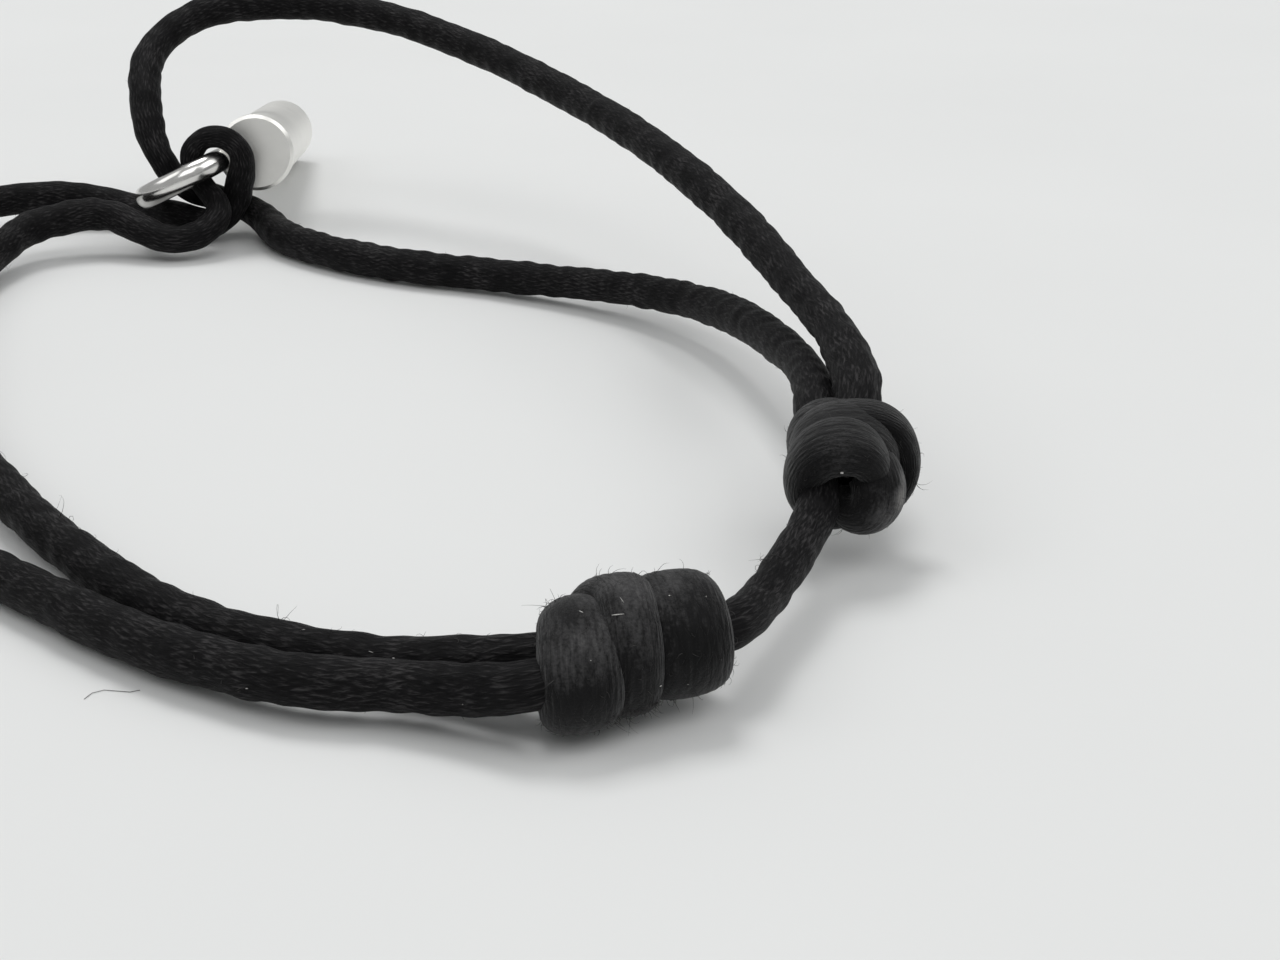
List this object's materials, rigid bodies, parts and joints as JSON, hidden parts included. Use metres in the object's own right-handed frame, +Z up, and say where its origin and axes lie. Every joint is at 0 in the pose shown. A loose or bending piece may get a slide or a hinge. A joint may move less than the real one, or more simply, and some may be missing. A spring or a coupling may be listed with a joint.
{
  "type": "cord bracelet",
  "caption": "Adjustable braided cord bracelet with sliding knots and a metal ring and barrel charm.",
  "frame": {"origin": "middle of the bracelet's footprint, on the surface that it lies on", "axes": "+Z up from the surface, +Y from the knots' side towards the charm's side along the loop's longest way, +X to the right of it"},
  "size_m": [0.0561, 0.0861, 0.0136],
  "materials": {
    "cord": "black satin braided cord",
    "knot": "black satin cord, rubbed slightly grey where it is wrapped tight",
    "charm": "polished silver-coloured metal"
  },
  "bodies": {
    "root": {"loop_left": "cord", "loop_right": "cord", "cord_between": "cord", "knot_near": "knot", "knot_far": "knot", "charm": "charm"}
  },
  "joints": []
}
